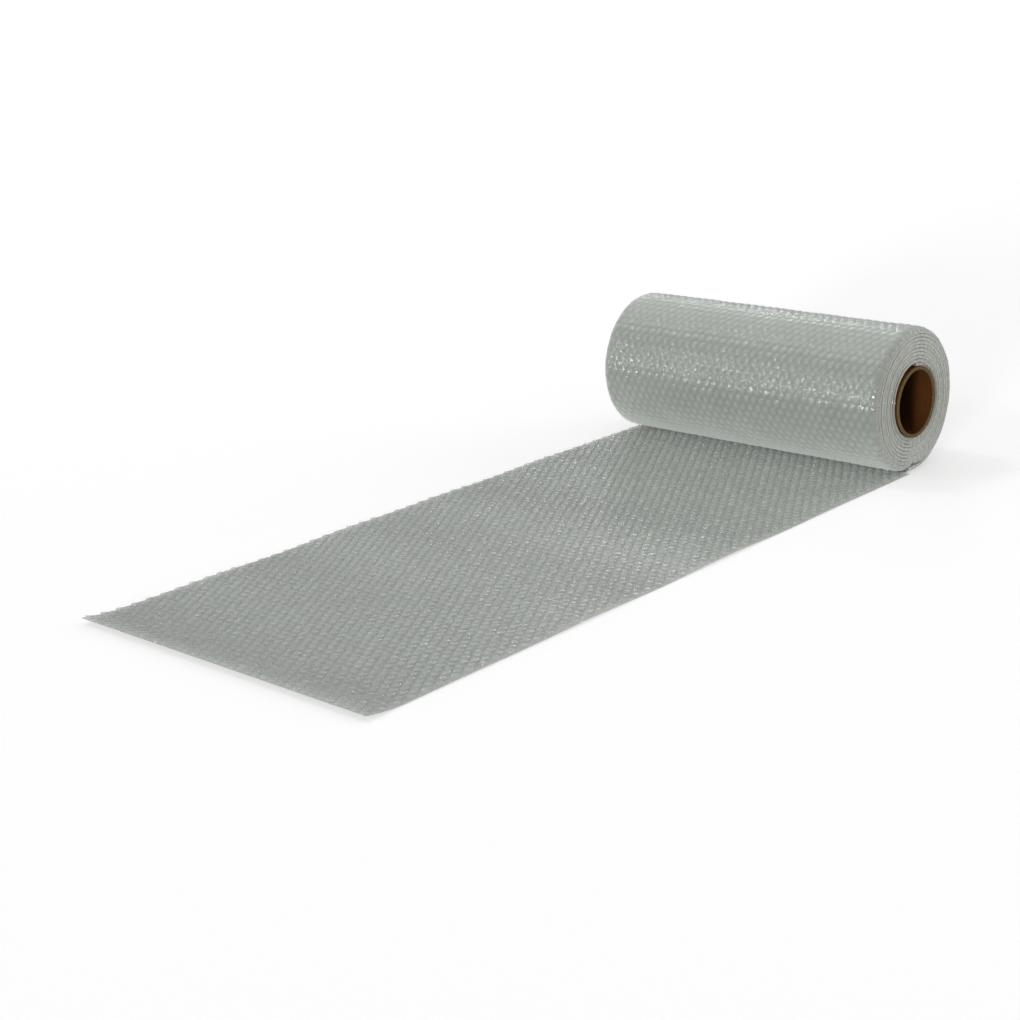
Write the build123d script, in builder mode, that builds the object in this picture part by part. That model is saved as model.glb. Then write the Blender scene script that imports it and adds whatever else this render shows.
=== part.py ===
from build123d import *
import os
from math import cos, radians, sin, sqrt, tan

# Bubble wrap roll: cushioning film wound on a paper core, lying on its side with its tail pulled out.
# Millimetres. The origin is on the resting plane, under the middle of the core. +X runs along the core,
# the tail runs towards -Y, and +Z is up.

# Film
web_width = 400.0
backing = 0.8  # film under the bubbles and between their rows
bubble_height = 3.0
bubble_pitch = 10.9  # between neighbours in a row, which runs across the web
bubble_slope = 1.2  # run of a bubble's side, from its foot to its flat crown
valley_width = 1.4  # between the feet of two rows

# Winding
turns = 11
pressed_gap = 0.2  # air between turns, and round the core, where the roll's weight presses on them
turn_slack = 0.2  # further air where nothing presses on them
flat_blend_angle = 24.0  # degrees in which a turn rounds off beside its flat spot

# Tail
tail_length = 900.0  # along the film, from under the core's axis to the cut end
curl_length = 50.0  # last stretch, which keeps some curl
curl_radius = 260.0

# Core
core_bore = 76.2
core_wall = 4.0
core_overhang = 2.0  # beyond the film at each end

# Worked out from the sizes above
row_pitch = bubble_pitch * sqrt(3) / 2  # the bubbles lie in a honeycomb
film_thickness = backing + bubble_height
turn_pitch = film_thickness + pressed_gap + turn_slack
core_radius = core_bore / 2 + core_wall
core_length = web_width + 2 * core_overhang
roll_radius = core_radius + turns * turn_pitch
axis_height = roll_radius - turns * turn_slack
curl_start = tail_length - curl_length


def tail_point(run, height):
    """Give the place at a run along the tail, from under the axis, and a height above its underside."""
    if run <= curl_start:
        return (-run, height)
    angle = (run - curl_start) / curl_radius
    reach = curl_radius - height
    return (-curl_start - reach * sin(angle), curl_radius - reach * cos(angle))


def flat_spot(level):
    """Give half the width of the flat stretch under the axis, where level 0 is the outermost film."""
    sag = turn_slack * (turns - level)
    return sag / tan(radians(flat_blend_angle / 2))


def wound_side(start, inset):
    """Draw one side of the film, from a start on the tail in to the core, and give its end.

    Half turns alternate between rising behind the axis and falling before it, and each is half a turn
    pitch smaller than the last. An inset of 0 draws the outer side.
    """
    side = Line(start, (flat_spot(0), inset))
    for half_turn in range(2 * turns - 1):
        radius = roll_radius - half_turn * turn_pitch / 2 - inset
        flat = flat_spot((half_turn + 1) // 2)
        blend_radius = radius - flat / sin(radians(flat_blend_angle))
        blend_arc = (blend_radius, flat_blend_angle)
        round_arc = (radius, 180 - flat_blend_angle)
        rises = half_turn % 2 == 0
        for arc_radius, arc_size in (blend_arc, round_arc) if rises else (round_arc, blend_arc):
            side = JernArc(side @ 1, side % 1, arc_radius, arc_size)
        if not rises:
            side = Line(side @ 1, side @ 1 + Vector(2 * flat, 0))
    return side @ 1


def tail_corners():
    """List the corners of the tail from under the axis to its cut end, one ridge for each row of bubbles."""
    corners = [tail_point(0, film_thickness), tail_point(0, backing)]
    row_count = int((tail_length - valley_width) / row_pitch)
    for row in range(row_count):
        start = row * row_pitch
        corners.append(tail_point(start + valley_width, backing))
        corners.append(tail_point(start + valley_width + bubble_slope, film_thickness))
        corners.append(tail_point(start + row_pitch - bubble_slope, film_thickness))
        corners.append(tail_point(start + row_pitch, backing))
    corners.append(tail_point(tail_length, backing))
    corners.append(tail_point(tail_length, 0))
    return corners


with BuildPart() as core_tube:
    with BuildSketch(Plane.YZ.offset(-core_length / 2)) as core_section:
        with Locations((0, axis_height)):
            Circle(core_radius)
            Circle(core_bore / 2, mode=Mode.SUBTRACT)
    extrude(amount=core_length)

with BuildPart() as bubble_film:
    with BuildSketch(Plane.YZ.offset(-web_width / 2)) as film_section:
        with BuildLine() as film_outline:
            outer_end = wound_side(tail_point(curl_start, 0), 0)
            inner_end = wound_side(tail_point(0, film_thickness), film_thickness)
            Line(outer_end, inner_end)
            Polyline(tail_corners())
            ThreePointArc(
                tail_point(tail_length, 0),
                tail_point(tail_length - curl_length / 2, 0),
                tail_point(curl_start, 0),
            )
        make_face()
    extrude(amount=web_width)

core_tube.part.label = "core_tube"
bubble_film.part.label = "bubble_film"

os.makedirs("parts", exist_ok=True)
export_step(core_tube.part, "parts/core_tube.step")
export_step(bubble_film.part, "parts/bubble_film.step")
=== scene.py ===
import math

import bpy
import numpy as np
from mathutils import Matrix, Vector


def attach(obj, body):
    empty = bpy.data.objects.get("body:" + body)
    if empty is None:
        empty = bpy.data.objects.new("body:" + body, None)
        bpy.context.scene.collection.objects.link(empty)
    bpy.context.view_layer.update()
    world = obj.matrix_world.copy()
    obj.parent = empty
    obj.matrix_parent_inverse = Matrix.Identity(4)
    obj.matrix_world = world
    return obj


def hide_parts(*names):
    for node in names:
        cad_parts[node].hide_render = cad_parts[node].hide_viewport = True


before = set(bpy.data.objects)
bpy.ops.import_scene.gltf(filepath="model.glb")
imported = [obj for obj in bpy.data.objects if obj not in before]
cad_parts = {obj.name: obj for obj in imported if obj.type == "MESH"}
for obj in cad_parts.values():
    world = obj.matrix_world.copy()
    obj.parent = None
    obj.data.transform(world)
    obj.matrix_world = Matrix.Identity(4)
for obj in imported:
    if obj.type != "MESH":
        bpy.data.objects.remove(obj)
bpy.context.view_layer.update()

# Bubble wrap roll, in metres, in the frame of the CAD model: +X along the core, the tail towards -Y.
# The film is laid out on the flat web, as (across, run from the cut end, depth from the backing side), and
# then wound. In the roll the backing side faces out and the bubbles face the core.

# Film
WEB_WIDTH = 0.400
BACKING = 0.0008
BUBBLE_HEIGHT = 0.0030
FILM_THICKNESS = BACKING + BUBBLE_HEIGHT
COLUMNS = 37  # bubbles in a row across the web
BUBBLE_PITCH = WEB_WIDTH / COLUMNS
ROW_PITCH = BUBBLE_PITCH * math.sqrt(3) / 2
CUT_MARGIN = 0.0054  # from the middle of the last row to the cut
SHEET_GAUGE = 0.0002  # thinnest part of a closed film
ACROSS_DIGITS = 6  # decimals at which two places across the web are the same
JOIN_GRID = 1e7  # steps a metre, on which neighbouring cells share a point
ON_EDGE = 1e-6  # how near the web's edge a point counts as on it

# Bubbles: a shape is the radius of the shoulder, and the rise there as a share of the crown's
FOOT_RADIUS = 0.0049
BUBBLE_SHAPE = (0.0041, 0.82)
PUCKER_SHAPE = (0.0026, 0.75)
CROWN_WANDER = 0.0003  # how far a crown strays from its bubble's middle
CROWN_TILT = 0.05
FULLNESS_SPREAD = 0.10
CUT_FULLNESS = 0.15  # what is left of a bubble that the web's edge cuts open
# Painted highlights: each bubble's crown is painted lighter than the film round it, by a strength that
# differs at random from bubble to bubble
HIGHLIGHT_LEAST = 0.9
HIGHLIGHT_SPREAD = 0.2
STROKE_HIGHLIGHT = 0.45  # painted highlight on the film between a bubble and its neighbours on one slant, as light strokes
PATCH_HIGHLIGHT = 0.9
PATCH_HIGHLIGHT_SPREAD = 0.03

# A bubble's cell holds six corners, rings of points at the foot and the shoulder, and the crown
RING = 12
FEET = 6
SHOULDERS = FEET + RING
CROWN = SHOULDERS + RING
RIGHT_HALF = (4, 5, 0)  # sixths of a cell
LEFT_HALF = (1, 2, 3)
STROKE_FEET = [8, 14]  # where a bubble nearly runs into its neighbours on one slant

# Winding
TURNS = 11
PRESSED_GAP = 0.0002
TURN_SLACK = 0.0002
TURN_PITCH = FILM_THICKNESS + PRESSED_GAP + TURN_SLACK
FLAT_BLEND = math.radians(24)
CORE_RADIUS = 0.0421
ROLL_RADIUS = CORE_RADIUS + TURNS * TURN_PITCH
AXIS_HEIGHT = ROLL_RADIUS - TURNS * TURN_SLACK

# Tail
TAIL_LENGTH = 0.900
CURL_LENGTH = 0.050
CURL_RADIUS = 0.260
TAIL_LAST_ROW = 2 * int((TAIL_LENGTH - CUT_MARGIN) / ROW_PITCH / 2)
LIFT = 0.0005  # size of each wave that lifts the tail
LIFT_END = 0.08  # where the tail's waves have died out, before the axis
LIFT_FADE = 0.2

# Outermost turn
JOINT_GAP = 0.0002  # between two meshes of the one film
JOINT_SHIFT = 2 * CUT_MARGIN - ROW_PITCH + JOINT_GAP  # keeps the roll's first row clear of the tail's last
SHOULDER_RADIUS = 0.0086  # soft rim where the roll's side turns into its ends
SHOULDER_WRAP = math.radians(87)
SLACK = 0.00012  # size of each wave of the soft roll
PUCKER = 0.0007  # relief of the backing on the roll's outside
PUCKER_RIM = ([0.184, 0.196], [1.0, 0.3])  # distances from the web's middle, and the share of relief there
BUBBLE_FOOT = PUCKER + 0.0009  # depth of the bubbles' feet under the backing
BUBBLE_ROOM = 0.0008  # left free under their crowns
BUBBLE_RIM = ([0.180, 0.190], [1.0, 0.15])
BACK_SPLITS = 4  # of the last pitch at each rim, in the smooth back of a film

# Turns inside the roll
RECESS_TURNS = [2.0, 2.06, 3.0]
RECESSES = [0.0046, 0.0001, 0.0002]  # of the film's edges: the second turn makes room for the soft rim
EDGE_INSET = 0.0003
EDGE_WANDERS = ((0.0003, 2.1, 0), (0.0002, 5.3, 1))  # each as (size, radians a turn, phase)
BACKING_DEPTHS = (0.0003, 0.0006)
FILLING_DEPTHS = (0.0004, FILM_THICKNESS + 0.0001)
FILLING_RECESS = 0.0004
LOG_FOOT = 0.0004
LOG_GAP = 0.0003  # between two rows
LOG_STEPS = 9
LOG_SQUARENESS = 0.6
LOG_CENTRE = np.array([0.0, 0.35])  # which its end rings shrink towards
LOG_FULLNESS_SPREAD = 0.12
OPEN_END = ((0.0, 1.0), (0.0, 0.80), (0.0003, 0.74))  # a log's end rings, as (recess, size)
CLOSED_END = ((0.0005, 1.0), (0.0003, 0.88), (0.0001, 0.55))
LOG_POINTS = 2 * len(OPEN_END) * LOG_STEPS

# Waves, each as (radians a metre of run, radians a metre across, phase)
HIGHLIGHT_WAVES = ((31, 17, 0), (-19, 23, 2), (47, -39, 1))
SLACK_WAVES = ((70, 25, 0), (-41, 110, 1), (137, -63, 2))
LEFT_WAVES = ((19, 0, 0), (37, 0, 1.3))
RIGHT_WAVES = ((23, 0, 2), (31, 0, 4))

# Looks
SOFT_EDGES = 60  # degrees up to which an edge is shaded smooth
CRISP_EDGES = 40
MOTTLE_SCALE = 30.0
WRINKLE_SCALE = 260.0
FIBRE_SCALE = 700.0
EDGE_PAINTED_LIGHT_REACH = 0.010  # how far in from the web's edges the film takes its edge colour, mostly lighter: painted light that lifts the shade on the roll's rims
PAINTED_CORE_SHADE = (0.095, 0.075, 0.040)  # painted brown shade on the film next to the core
PAINTED_CORE_SHADE_REACH = 0.015
PAINTED_BORE_SHADE_END = (0.2005, 0.2016)  # where the core's colour turns from the painted shade of its bore to the lit colour of its rims, from the web's middle

# Studio
FLOOR_SIZE = 80.0  # from its middle
FLOOR_LIFT = 0.40
WORLD_FILL = 0.30
CAMERA_PLACE = Vector((1.334, -1.946, 0.672))
CAMERA_TARGET = Vector((-0.034, -0.45, 0.03))
CAMERA_ROLL = math.radians(-2.4)
CAMERA_LENS = 69.0


def flat_spot(level):
    """Give half the width of the flat stretch under the axis, where level 0 is the outermost film."""
    return TURN_SLACK * (TURNS - level) / math.tan(FLAT_BLEND / 2)


class Winding:
    """The line of the film's backing side, from the cut end of the tail in to the core."""

    def __init__(self):
        legs = [(CURL_LENGTH, 1 / CURL_RADIUS), (TAIL_LENGTH - CURL_LENGTH + flat_spot(0), 0.0)]
        self.turn_ends = [TAIL_LENGTH]
        for half_turn in range(2 * TURNS - 1):
            radius = ROLL_RADIUS - half_turn * TURN_PITCH / 2
            flat = flat_spot((half_turn + 1) // 2)
            blend_radius = radius - flat / math.sin(FLAT_BLEND)
            blend = (blend_radius * FLAT_BLEND, 1 / blend_radius)
            rest = (radius * (math.pi - FLAT_BLEND), 1 / radius)
            if half_turn % 2 == 0:
                legs += [blend, rest]
            else:
                legs += [rest, blend, (2 * flat, 0.0)]
                self.turn_ends.append(sum(length for length, _ in legs) - flat)
        lengths, self.bends = np.array(legs).T
        self.starts = np.concatenate([[0.0], np.cumsum(lengths)[:-1]])
        self.length = lengths.sum()
        self._lay(lengths)

    def _lay(self, lengths):
        """Work out where each leg starts, and its heading there."""
        heading = -CURL_LENGTH / CURL_RADIUS
        y = CURL_LENGTH - TAIL_LENGTH + CURL_RADIUS * math.sin(heading)
        z = CURL_RADIUS * (1 - math.cos(heading))
        ys, zs, headings = [], [], []
        for length, bend in zip(lengths, self.bends):
            ys.append(y)
            zs.append(z)
            headings.append(heading)
            turned = heading + bend * length
            if bend:
                y += (math.sin(turned) - math.sin(heading)) / bend
                z -= (math.cos(turned) - math.cos(heading)) / bend
            else:
                y += math.cos(heading) * length
                z += math.sin(heading) * length
            heading = turned
        self.ys, self.zs, self.headings = np.array(ys), np.array(zs), np.array(headings)

    def place(self, web):
        """Turn points of the flat web into points in space."""
        across, run, depth = web.T
        leg = np.clip(np.searchsorted(self.starts, run, side="right") - 1, 0, len(self.starts) - 1)
        along = run - self.starts[leg]
        heading = self.headings[leg]
        bend = self.bends[leg]
        turned = heading + bend * along
        straight = bend == 0
        safe_bend = np.where(straight, 1.0, bend)
        dy = np.where(straight, np.cos(heading) * along, (np.sin(turned) - np.sin(heading)) / safe_bend)
        dz = np.where(straight, np.sin(heading) * along, (np.cos(heading) - np.cos(turned)) / safe_bend)
        y = self.ys[leg] + dy - depth * np.sin(turned)
        z = self.zs[leg] + dz + depth * np.cos(turned)
        return np.stack([across, y, z], axis=1)

    def turn(self, run):
        """Give the number of turns that lie outside each run."""
        return np.interp(run, self.turn_ends, np.arange(len(self.turn_ends)))


winding = Winding()


def row_run(row):
    """Give the run of a row of bubbles, counted from the cut end."""
    return CUT_MARGIN + row * ROW_PITCH


def waves(across, run, terms):
    """Add up plane waves over the web."""
    return sum(np.sin(along * run + over * across + phase) for along, over, phase in terms)


def make_object(name, points, faces, smooth_angle, painted_highlight=None, front_faces=None):
    """Make a smooth-shaded mesh object that keeps its sharp edges, with a painted highlight tone for each
    point.

    Faces after the front ones take the object's second material.
    """
    mesh = bpy.data.meshes.new(name)
    mesh.from_pydata(points.tolist(), [], faces)
    mesh.validate()
    mesh.polygons.foreach_set("use_smooth", [True] * len(mesh.polygons))
    mesh.set_sharp_from_angle(angle=math.radians(smooth_angle))
    painted_highlights = np.zeros(len(points), dtype=np.float32)
    if painted_highlight is not None:
        painted_highlights[:len(painted_highlight)] = painted_highlight
    mesh.attributes.new("painted_highlight", "FLOAT", "POINT").data.foreach_set("value", painted_highlights)
    if front_faces is not None:
        is_back = [int(place >= front_faces) for place in range(len(faces))]
        mesh.polygons.foreach_set("material_index", is_back)
    made = bpy.data.objects.new(name, mesh)
    bpy.context.scene.collection.objects.link(made)
    return made


def circle(degrees):
    """Give points on the unit circle."""
    angles = np.radians(degrees)
    return np.stack([np.cos(angles), np.sin(angles)], axis=1)


def cell_sixth(sixth):
    """List the triangles of one sixth of a bubble's cell, by the numbers of the cell's points."""
    corner, next_corner = sixth, (sixth + 1) % 6
    foot = [FEET + (1 + 2 * sixth + step) % RING for step in range(3)]
    shoulder = [place + RING for place in foot]
    triangles = [(corner, next_corner, foot[1]), (corner, foot[1], foot[0]), (next_corner, foot[2], foot[1])]
    for side in range(2):
        triangles.append((foot[side], foot[side + 1], shoulder[side + 1]))
        triangles.append((foot[side], shoulder[side + 1], shoulder[side]))
        triangles.append((shoulder[side], shoulder[side + 1], CROWN))
    return triangles


def fill_cell(ring, shoulder_share, cut_through, rng):
    """Blow up one bubble: give how its top strays, how far its points rise, and how much painted highlight
    they take.
    """
    stray = rng.normal(0, CROWN_WANDER, 2) * (0 if cut_through else 1, 1)
    fullness = CUT_FULLNESS if cut_through else 1 - FULLNESS_SPREAD * rng.random()
    tilt = ring @ rng.normal(0, CROWN_TILT, 2)
    rise = np.zeros(CROWN + 1)
    rise[SHOULDERS:CROWN] = fullness * shoulder_share + tilt
    rise[CROWN] = fullness
    glow = HIGHLIGHT_LEAST + HIGHLIGHT_SPREAD * rng.random()
    # Paint the crown lighter as a highlight, and light strokes towards two neighbours
    painted_highlight = rise ** 2 * glow
    painted_highlight[STROKE_FEET] = STROKE_HIGHLIGHT * glow
    return stray, rise, painted_highlight


def honeycomb(first_row, last_row, shape, seed):
    """Lay a honeycomb of bubbles on the flat web.

    Gives the points (across, run), how far each one rises as a share of the bubbles' height, how much painted
    highlight it takes, and triangles.
    """
    rng = np.random.default_rng(seed)
    shoulder_radius, shoulder_share = shape
    corners = BUBBLE_PITCH / math.sqrt(3) * circle(30 + 60 * np.arange(6))
    ring = circle(360 // RING * np.arange(RING))
    cell = np.concatenate([corners, FOOT_RADIUS * ring, shoulder_radius * ring, [[0.0, 0.0]]])
    sixths = [cell_sixth(sixth) for sixth in range(6)]
    flats, rises, painted_highlights, triangles = [], [], [], []
    for row in range(first_row, last_row + 1):
        cut_row = row % 2 == 1
        offset = 0.0 if cut_row else 0.5
        count = COLUMNS + 1 if cut_row else COLUMNS
        for column in range(count):
            start = len(flats) * len(cell)
            points = cell + [(column + offset) * BUBBLE_PITCH - WEB_WIDTH / 2, row_run(row)]
            if row == first_row:
                points[3:6, 1] = row_run(row) - CUT_MARGIN
            if row == last_row:
                points[0:3, 1] = row_run(row) + CUT_MARGIN
            cut_through = cut_row and column in (0, count - 1)
            stray, rise, painted_highlight = fill_cell(ring, shoulder_share, cut_through, rng)
            points[SHOULDERS:] += stray
            flats.append(points)
            rises.append(rise)
            painted_highlights.append(painted_highlight)
            on_web = range(6)
            if cut_through:
                on_web = RIGHT_HALF if column == 0 else LEFT_HALF
            for sixth in on_web:
                triangles += [[start + place for place in triangle] for triangle in sixths[sixth]]
    flat, rise, painted_highlight = (np.concatenate(part) for part in (flats, rises, painted_highlights))
    flat, rise, painted_highlight, triangles = join_corners(flat, rise, painted_highlight, np.array(triangles))
    return flat, rise, painted_highlight * patches(flat), triangles


def patches(flat):
    """Give how strong the bubbles' painted highlights are, which comes and goes over the web."""
    return PATCH_HIGHLIGHT + PATCH_HIGHLIGHT_SPREAD * waves(*flat.T, HIGHLIGHT_WAVES)


def join_corners(flat, rise, painted_highlight, triangles):
    """Merge the points that neighbouring cells share, and drop those that no triangle uses."""
    used = np.unique(triangles)
    keys = np.round(flat[used] * JOIN_GRID).astype(np.int64)
    _, first, merged = np.unique(keys, axis=0, return_index=True, return_inverse=True)
    renumber = np.zeros(len(flat), dtype=np.int64)
    renumber[used] = merged.ravel()
    return flat[used][first], rise[used][first], painted_highlight[used][first], renumber[triangles]


def boundary_edges(triangles):
    """List the directed edges that only one triangle has."""
    edges = np.concatenate([triangles[:, [0, 1]], triangles[:, [1, 2]], triangles[:, [2, 0]]])
    seen = {(a, b) for a, b in edges.tolist()}
    return [(a, b) for a, b in seen if (b, a) not in seen]


def close_film(flat, depth, triangles, back_depth, columns):
    """Close a relief into a film: walls down from its edges, and a smooth back at one depth.

    The columns are the places across the web that the back keeps between its edges. Also gives the place of
    the back's first face.
    """
    rim = boundary_edges(triangles)
    on_rim = sorted({a for a, _ in rim}, key=lambda place: flat[place, 1])
    back = {place: len(flat) + index for index, place in enumerate(on_rim)}
    rows, inner = back_rows(flat, back, columns)
    back_flat = np.concatenate([flat[on_rim], np.array(inner).reshape(-1, 2)])
    points = np.concatenate([
        np.column_stack([flat, depth]),
        np.column_stack([back_flat, np.full(len(back_flat), back_depth)]),
    ])
    faces = triangles.tolist()
    faces += [[b, a, back[a], back[b]] for a, b in rim]
    back_start = len(faces)
    for row, next_row in zip(rows, rows[1:]):
        faces += strip_faces(row, next_row, back_depth > depth.max())
    return points, faces, back_start


def back_rows(flat, back, columns):
    """Lay the rows of a back's points, each as {place across: number of the point}.

    Takes the numbers of the points under the rim. Also gives the points (across, run) added between them.
    """
    half = WEB_WIDTH / 2
    first_run, last_run = flat[:, 1].min() + ON_EDGE, flat[:, 1].max() - ON_EDGE
    left = [place for place in back if flat[place, 0] < ON_EDGE - half]
    right = [place for place in back if flat[place, 0] > half - ON_EDGE]
    first_end = [place for place in back if flat[place, 1] < first_run]
    last_end = [place for place in back if flat[place, 1] > last_run]
    rows, inner = [], []
    for left_place, right_place in zip(left[1:-1], right[1:-1]):
        start = len(flat) + len(back) + len(inner)
        inner += [(across, flat[left_place, 1]) for across in columns]
        places = [back[left_place], *range(start, start + len(columns)), back[right_place]]
        rows.append(dict(zip([-half, *columns, half], places)))
    first_row = {round(flat[place, 0], ACROSS_DIGITS): back[place] for place in first_end}
    last_row = {round(flat[place, 0], ACROSS_DIGITS): back[place] for place in last_end}
    return [first_row, *rows, last_row], inner


def strip_faces(row, next_row, deeper):
    """List the back's faces between two rows of points, which split where both rows have a point."""
    shared = sorted(row.keys() & next_row.keys())
    faces = []
    for start, end in zip(shared, shared[1:]):
        near = [row[across] for across in sorted(row) if start <= across <= end]
        far = [next_row[across] for across in sorted(next_row) if start <= across <= end]
        face = far + near[::-1]
        faces.append(face[::-1] if deeper else face)
    return faces


def roll_columns():
    """List the places across the web that the roll's backs keep: close together on the soft rims."""
    pitches = np.arange(1, COLUMNS) * BUBBLE_PITCH
    rim = np.arange(1, BACK_SPLITS) * BUBBLE_PITCH / BACK_SPLITS
    across = np.concatenate([rim, pitches, WEB_WIDTH - rim[::-1]]) - WEB_WIDTH / 2
    return np.round(across, ACROSS_DIGITS).tolist()


def lift(web):
    """Give how far the tail stands off the floor in its low waves, which die out towards the roll."""
    across, run, _ = web.T
    share = across / WEB_WIDTH + 0.5
    wave = waves(across, run, LEFT_WAVES) * (1 - share) + waves(across, run, RIGHT_WAVES) * share
    return LIFT * (wave + len(LEFT_WAVES)) * np.clip((TAIL_LENGTH - LIFT_END - run) / LIFT_FADE, 0, 1)


def tail_sheet():
    """Make the free tail: film with its bubbles up, lying on the floor."""
    flat, rise, painted_highlight, triangles = honeycomb(0, TAIL_LAST_ROW, BUBBLE_SHAPE, seed=3)
    points, faces, _ = close_film(flat, BACKING + BUBBLE_HEIGHT * rise, triangles, SHEET_GAUGE, [])
    points[:, 2] += lift(points)
    return make_object("film_tail", winding.place(points), faces, SOFT_EDGES, painted_highlight, len(triangles))


def outer_rows():
    """Give the first and last row of bubbles of the outermost turn."""
    last_row = int((winding.turn_ends[1] - 2 * CUT_MARGIN - JOINT_SHIFT) / ROW_PITCH)
    return TAIL_LAST_ROW + 1, last_row


def slack(web):
    """Let the outermost turn rise and sink a little, as a soft roll does."""
    across, run, depth = web.T
    wave = waves(across, run, SLACK_WAVES)
    return np.column_stack([across, run, depth + SLACK * (wave + len(SLACK_WAVES))])


def shoulder(web):
    """Wrap the film's edges round the soft rims of the roll."""
    across, run, depth = web.T
    straight = WEB_WIDTH / 2 - SHOULDER_RADIUS
    angle = SHOULDER_WRAP * np.maximum(np.abs(across) - straight, 0) / SHOULDER_RADIUS
    reach = SHOULDER_RADIUS - depth
    moved = np.where(angle > 0, straight + reach * np.sin(angle), np.abs(across))
    sunk = np.where(angle > 0, SHOULDER_RADIUS - reach * np.cos(angle), depth)
    return np.column_stack([np.sign(across) * moved, run, sunk])


def roll_skin():
    """Make the outermost turn's backing, which puckers over each bubble under it.

    The web is mirrored, so that its relief faces out of the roll.
    """
    flat, rise, painted_highlight, triangles = honeycomb(*outer_rows(), PUCKER_SHAPE, seed=5)
    flat = flat * (-1, 1) + (0, JOINT_SHIFT)
    depth = PUCKER - PUCKER * rise * np.interp(np.abs(flat[:, 0]), *PUCKER_RIM)
    points, faces, back_start = close_film(flat, depth, triangles, PUCKER + SHEET_GAUGE, roll_columns())
    points = winding.place(shoulder(slack(points)))
    return make_object("roll_skin", points, faces, SOFT_EDGES, painted_highlight, back_start)


def roll_bubbles():
    """Make the outermost turn's bubbles, which show through its backing."""
    flat, rise, painted_highlight, triangles = honeycomb(*outer_rows(), BUBBLE_SHAPE, seed=7)
    flat = flat + (0, JOINT_SHIFT)
    height = (FILM_THICKNESS - BUBBLE_ROOM - BUBBLE_FOOT) * np.interp(np.abs(flat[:, 0]), *BUBBLE_RIM)
    depth = BUBBLE_FOOT + height * rise
    points, faces, back_start = close_film(flat, depth, triangles, BUBBLE_FOOT - SHEET_GAUGE, roll_columns())
    points = winding.place(shoulder(slack(points)))
    return make_object("roll_bubbles", points, faces, SOFT_EDGES, painted_highlight, back_start)


def end_place(run):
    """Give how far out the wound film's edges lie, which wanders from turn to turn."""
    turn = winding.turn(run)
    wander = sum(size * np.sin(pace * turn + phase) for size, pace, phase in EDGE_WANDERS)
    return WEB_WIDTH / 2 - np.interp(turn, RECESS_TURNS, RECESSES) - EDGE_INSET + wander


def ribbon(first_run, depths, recess):
    """Lay a closed ribbon of the wound film on the flat web, between two depths."""
    runs = np.arange(first_run, winding.length, ROW_PITCH / 2)
    reach = end_place(runs) - recess
    low, high = depths
    corners = [(-reach, low), (reach, low), (reach, high), (-reach, high)]
    points = np.stack([np.column_stack([x, runs, np.full(len(runs), depth)]) for x, depth in corners], axis=1)
    points = points.reshape(-1, 3)
    faces = [[0, 1, 2, 3], [len(points) - 1 - place for place in range(4)]]
    for station in range(len(runs) - 1):
        a, b = 4 * station, 4 * station + 4
        faces += [[a + side, b + side, b + (side + 1) % 4, a + (side + 1) % 4] for side in range(4)]
    return points, faces


def log_section():
    """Draw a row of bubbles from its end: a squared-off half round, 2 wide and 1 high."""
    angles = np.linspace(math.pi, 0, LOG_STEPS)
    across = np.sign(np.cos(angles)) * np.abs(np.cos(angles)) ** LOG_SQUARENESS
    return np.column_stack([across, np.sin(angles) ** LOG_SQUARENESS])


def log_points(section, run, ends, fullness):
    """Lay the end rings of one row of bubbles, first on the left and then on the right."""
    reach = float(end_place(run))
    height = FILM_THICKNESS - LOG_FOOT
    rings = []
    for side in (-1, 1):
        for recess, size in ends:
            outline = (section - LOG_CENTRE) * size + LOG_CENTRE
            rings.append(np.column_stack([
                np.full(LOG_STEPS, side * (reach - recess)),
                run + outline[:, 0] * 0.5 * (ROW_PITCH - LOG_GAP),
                LOG_FOOT + outline[:, 1] * height * fullness,
            ]))
    return np.concatenate(rings)


def log_faces(start):
    """List the faces of one row of bubbles: two rounded ends, and the sides between them."""
    rings = len(OPEN_END)
    sides = [(step, (step + 1) % LOG_STEPS) for step in range(LOG_STEPS)]
    faces = []
    for side in range(2):
        first = start + side * rings * LOG_STEPS
        end = []
        for ring in range(rings - 1):
            here, further = first + ring * LOG_STEPS, first + (ring + 1) * LOG_STEPS
            end += [[here + a, here + b, further + b, further + a] for a, b in sides]
        end.append([first + (rings - 1) * LOG_STEPS + step for step in range(LOG_STEPS)])
        faces += end if side else [face[::-1] for face in end]
    right = start + rings * LOG_STEPS
    faces += [[start + a, start + b, right + b, right + a] for a, b in sides]
    return faces


def bubble_rows(first_run):
    """Lay each row of wound bubbles as a closed log: every second row is cut open at its ends."""
    rng = np.random.default_rng(seed=11)
    section = log_section()
    first_row = math.ceil((first_run - CUT_MARGIN) / ROW_PITCH + 0.5)
    last_row = int((winding.length - CUT_MARGIN) / ROW_PITCH) - 1
    points, faces = [], []
    for row in range(first_row, last_row + 1):
        fullness = 1 - LOG_FULLNESS_SPREAD * rng.random()
        faces += log_faces(len(points) * LOG_POINTS)
        points.append(log_points(section, row_run(row), OPEN_END if row % 2 else CLOSED_END, fullness))
    return np.concatenate(points), faces


def wound_turns():
    """Make the turns inside the roll, whose cut edges show as a spiral in the roll's ends."""
    first_run = row_run(outer_rows()[1]) + CUT_MARGIN + JOINT_SHIFT + JOINT_GAP
    layers = [
        ribbon(first_run, BACKING_DEPTHS, 0.0),
        ribbon(first_run, FILLING_DEPTHS, FILLING_RECESS),
        bubble_rows(first_run),
    ]
    points, faces = [], []
    for layer_points, layer_faces in layers:
        start = sum(len(part) for part in points)
        points.append(layer_points)
        faces += [[place + start for place in face] for face in layer_faces]
    return make_object("wound_turns", winding.place(np.concatenate(points)), faces, CRISP_EDGES)


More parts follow.
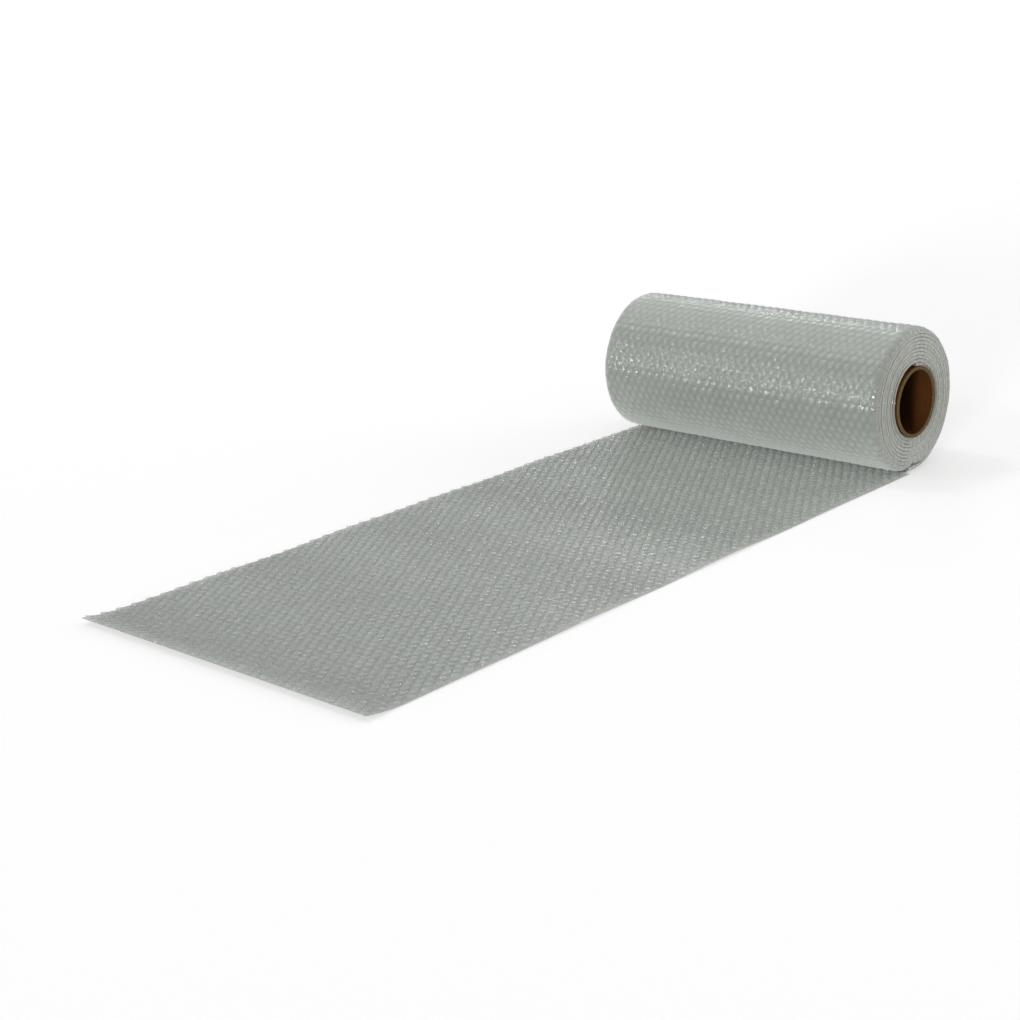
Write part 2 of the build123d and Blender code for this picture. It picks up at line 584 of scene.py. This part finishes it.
def node_tree(name):
    """Make a material, and give it with its nodes, its links and its Principled shader."""
    material = bpy.data.materials.new(name)
    material.use_nodes = True
    nodes = material.node_tree.nodes
    return material, nodes, material.node_tree.links, nodes["Principled BSDF"]


def feed(links, value, socket):
    """Set a socket from another node's output, or else to a plain value."""
    if isinstance(value, bpy.types.NodeSocket):
        links.new(value, socket)
    else:
        socket.default_value = value


def object_place(nodes):
    """Give each point's place in the frame's own coordinates."""
    return nodes.new("ShaderNodeTexCoord").outputs["Object"]


def noise(nodes, links, scale, detail):
    """Give a noise value that is fixed to the object."""
    texture = nodes.new("ShaderNodeTexNoise")
    texture.inputs["Scale"].default_value = scale
    texture.inputs["Detail"].default_value = detail
    links.new(object_place(nodes), texture.inputs["Vector"])
    return texture.outputs["Fac"]


def ramp(nodes, links, value, stops):
    """Colour a value by two stops of (place, colour)."""
    made = nodes.new("ShaderNodeValToRGB")
    for element, (place, colour) in zip(made.color_ramp.elements, stops):
        element.position = place
        element.color = (*colour, 1)
    links.new(value, made.inputs["Fac"])
    return made.outputs["Color"]


def mix(nodes, links, factor, first, second, blend="MIX"):
    """Mix two colours."""
    made = nodes.new("ShaderNodeMix")
    made.data_type = "RGBA"
    made.blend_type = blend
    feed(links, factor, made.inputs["Factor"])
    feed(links, first, made.inputs["A"])
    feed(links, second, made.inputs["B"])
    return made.outputs["Result"]


def map_range(nodes, links, value, start=0.0, end=1.0, low=0.0, high=1.0):
    """Map a value from start and end to low and high."""
    made = nodes.new("ShaderNodeMapRange")
    made.inputs["From Min"].default_value = start
    made.inputs["From Max"].default_value = end
    made.inputs["To Min"].default_value = low
    made.inputs["To Max"].default_value = high
    links.new(value, made.inputs["Value"])
    return made.outputs["Result"]


def near_ends(nodes, links, start, end):
    """Give a value that grows from 0 to 1 between two distances from the middle of the web."""
    axes = nodes.new("ShaderNodeSeparateXYZ")
    links.new(object_place(nodes), axes.inputs["Vector"])
    across = nodes.new("ShaderNodeMath")
    across.operation = "ABSOLUTE"
    links.new(axes.outputs["X"], across.inputs[0])
    return map_range(nodes, links, across.outputs["Value"], start, end)


def near_core(nodes, links, reach):
    """Give a value that grows from 0 to 1 over a reach towards the core's outside."""
    section = nodes.new("ShaderNodeVectorMath")
    section.operation = "MULTIPLY"
    section.inputs[1].default_value = (0, 1, 1)
    links.new(object_place(nodes), section.inputs[0])
    radius = nodes.new("ShaderNodeVectorMath")
    radius.operation = "DISTANCE"
    radius.inputs[1].default_value = (0, 0, AXIS_HEIGHT)
    links.new(section.outputs["Vector"], radius.inputs[0])
    return map_range(nodes, links, radius.outputs["Value"], CORE_RADIUS + reach, CORE_RADIUS)


def film_colour(nodes, links, valley, crown, edge_with_painted_light):
    """Colour the film: a painted highlight over each bubble's crown, mottled, painted light at its edges, and
    painted brown shade next to the core.
    """
    # The painted highlight tone lightens the film from the valley colour to the crown colour
    painted_highlight = nodes.new("ShaderNodeAttribute")
    painted_highlight.attribute_name = "painted_highlight"
    colour = ramp(nodes, links, painted_highlight.outputs["Fac"], [(0.0, valley), (1.0, crown)])
    mottle = noise(nodes, links, MOTTLE_SCALE, 3.0)
    shade = ramp(nodes, links, mottle, [(0.30, (0.90, 0.90, 0.90)), (0.70, (1.0, 1.0, 1.0))])
    colour = mix(nodes, links, 1.0, colour, shade, "MULTIPLY")
    # Painted light: the film's edges take a set colour, mostly lighter, that lifts the shade on the roll's
    # rims
    painted_light_at_edge = near_ends(nodes, links, WEB_WIDTH / 2 - EDGE_PAINTED_LIGHT_REACH, WEB_WIDTH / 2)
    colour = mix(nodes, links, painted_light_at_edge, colour, (*edge_with_painted_light, 1))
    # Painted shade: the film darkens to brown next to the core
    return mix(nodes, links, near_core(nodes, links, PAINTED_CORE_SHADE_REACH), colour, (*PAINTED_CORE_SHADE, 1))


def film_material(name, alpha, valley, crown, edge_with_painted_light, wrinkle_depth=0.0003):
    """Soft grey-green polyethylene film, see-through and finely wrinkled."""
    material, nodes, links, shader = node_tree(name)
    links.new(film_colour(nodes, links, valley, crown, edge_with_painted_light), shader.inputs["Base Color"])
    bump = nodes.new("ShaderNodeBump")
    bump.inputs["Distance"].default_value = wrinkle_depth
    links.new(noise(nodes, links, WRINKLE_SCALE, 2.0), bump.inputs["Height"])
    links.new(bump.outputs["Normal"], shader.inputs["Normal"])
    shader.inputs["Roughness"].default_value = 0.11
    shader.inputs["IOR"].default_value = 1.5
    shader.inputs["Diffuse Roughness"].default_value = 1.0
    shader.inputs["Sheen Weight"].default_value = 0.8
    shader.inputs["Sheen Roughness"].default_value = 0.7
    shader.inputs["Sheen Tint"].default_value = (0.95, 1.0, 0.95, 1)
    shader.inputs["Alpha"].default_value = alpha
    return material


def core_material():
    """Brown wound paperboard: painted deep brown in the bore for the shade there, and a lit tan on its rims.
    """
    material, nodes, links, shader = node_tree("core_board")
    fibre = noise(nodes, links, FIBRE_SCALE, 4.0)
    # Painted shade: the bore is a darker copy of the rims' paperboard
    painted_shade_bore = ramp(nodes, links, fibre, [(0.35, (0.045, 0.013, 0.001)), (0.70, (0.075, 0.026, 0.003))])
    rim = ramp(nodes, links, fibre, [(0.35, (0.10, 0.060, 0.018)), (0.70, (0.17, 0.120, 0.060))])
    colour = mix(nodes, links, near_ends(nodes, links, *PAINTED_BORE_SHADE_END), painted_shade_bore, rim)
    links.new(colour, shader.inputs["Base Color"])
    shader.inputs["Roughness"].default_value = 0.85
    shader.inputs["Specular IOR Level"].default_value = 0.15
    return material


def seen_directly(nodes, links):
    """Give 1 for rays that show the backdrop: from the camera, in a reflection or through something clear."""
    rays = nodes.new("ShaderNodeLightPath")
    seen = rays.outputs["Is Camera Ray"]
    for kind in ("Is Glossy Ray", "Is Transmission Ray"):
        either = nodes.new("ShaderNodeMath")
        either.operation = "MAXIMUM"
        links.new(seen, either.inputs[0])
        links.new(rays.outputs[kind], either.inputs[1])
        seen = either.outputs["Value"]
    return seen


def lay_floor():
    """Lay a pale floor, which looks white and keeps the object's shadow."""
    corners = [(FLOOR_SIZE * x, FLOOR_SIZE * y, 0) for x, y in ((-1, -1), (1, -1), (1, 1), (-1, 1))]
    mesh = bpy.data.meshes.new("floor")
    mesh.from_pydata(corners, [], [(0, 1, 2, 3)])
    floor = bpy.data.objects.new("floor", mesh)
    bpy.context.scene.collection.objects.link(floor)
    material, nodes, links, shader = node_tree("floor")
    shader.inputs["Base Color"].default_value = (0.90, 0.90, 0.90, 1)
    shader.inputs["Roughness"].default_value = 0.9
    shader.inputs["Emission Color"].default_value = (1, 1, 1, 1)
    glow = map_range(nodes, links, seen_directly(nodes, links), high=FLOOR_LIFT)
    links.new(glow, shader.inputs["Emission Strength"])
    mesh.materials.append(material)


def white_world():
    """Surround the scene with white, which lights it less than it shows."""
    world = bpy.data.worlds.new("studio")
    world.use_nodes = True
    nodes, links = world.node_tree.nodes, world.node_tree.links
    background = nodes["Background"]
    background.inputs["Color"].default_value = (1, 1, 1, 1)
    strength = map_range(nodes, links, seen_directly(nodes, links), low=WORLD_FILL)
    links.new(strength, background.inputs["Strength"])
    bpy.context.scene.world = world


def sun(name, towards, strength, angle):
    """Add a far softbox in a direction from the roll, with an angular size in degrees."""
    light = bpy.data.lights.new(name, "SUN")
    light.energy = strength
    light.angle = math.radians(angle)
    made = bpy.data.objects.new(name, light)
    made.rotation_euler = Vector(towards).to_track_quat("Z", "Y").to_euler()
    bpy.context.scene.collection.objects.link(made)


def lamps():
    """Light the roll and its tail: broad lamps for their form, small ones for glints on the film."""
    sun("soft_top", (-0.2, 0.05, 0.97), 0.35, 60)
    sun("low_front", (0.30, -0.95, 0.08), 2.25, 10)
    sun("low_left", (-0.5, -0.86, 0.06), 0.5, 9)
    sun("back_right", (0.45, 0.84, 0.30), 0.6, 40)
    sun("glint", (-0.55, -0.77, 0.42), 0.3, 9)
    sun("high_left", (-0.5, -0.2, 0.85), 0.17, 9)
    sun("back", (-0.55, 0.70, 0.45), 0.1, 8)


def camera():
    """Look at the roll and its tail from the front right, a little above."""
    data = bpy.data.cameras.new("camera")
    data.sensor_width = 36.0
    data.lens = CAMERA_LENS
    made = bpy.data.objects.new("camera", data)
    bpy.context.scene.collection.objects.link(made)
    turn = (CAMERA_TARGET - CAMERA_PLACE).to_track_quat("-Z", "Y").to_matrix().to_4x4()
    made.matrix_world = Matrix.Translation(CAMERA_PLACE) @ turn @ Matrix.Rotation(CAMERA_ROLL, 4, "Z")
    bpy.context.scene.camera = made


def dress(piece, materials):
    """Give a piece of the film its materials, and let it stand for the film's solid."""
    for material in materials:
        piece.data.materials.append(material)
    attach(piece, "root")
    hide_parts("bubble_film")


def make_film():
    """Make every piece of the film."""
    bubbles = film_material(
        "film_bubbles", alpha=0.38,
        valley=(0.23, 0.262, 0.225), crown=(0.62, 0.66, 0.60), edge_with_painted_light=(0.35, 0.367, 0.323))
    clear = film_material(
        "film_clear", alpha=0.10,
        valley=(0.355, 0.40, 0.35), crown=(0.56, 0.61, 0.55), edge_with_painted_light=(0.30, 0.312, 0.275))
    backing = film_material(
        "film_backing", alpha=0.62,
        valley=(0.31, 0.35, 0.302), crown=(0.37, 0.41, 0.358), edge_with_painted_light=(0.35, 0.367, 0.323))
    skin = film_material(
        "film_skin", alpha=0.75, wrinkle_depth=0.0005,
        valley=(0.235, 0.267, 0.235), crown=(0.355, 0.39, 0.35), edge_with_painted_light=(0.30, 0.312, 0.275))
    cut_edges = film_material(
        "film_edges", alpha=1.0,
        valley=(0.192, 0.194, 0.158), crown=(0.214, 0.216, 0.176), edge_with_painted_light=(0.195, 0.197, 0.161))
    tail = tail_sheet()
    dress(tail, [bubbles, backing])
    dress(roll_skin(), [skin, clear])
    dress(roll_bubbles(), [bubbles, clear])
    dress(wound_turns(), [cut_edges])


def main():
    """Build the scene round the CAD model, which keeps its own core."""
    make_film()
    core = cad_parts["core_tube"]
    core.data.materials.clear()
    core.data.materials.append(core_material())
    lay_floor()
    white_world()
    lamps()
    camera()
    bpy.context.scene.view_settings.view_transform = "Standard"


main()
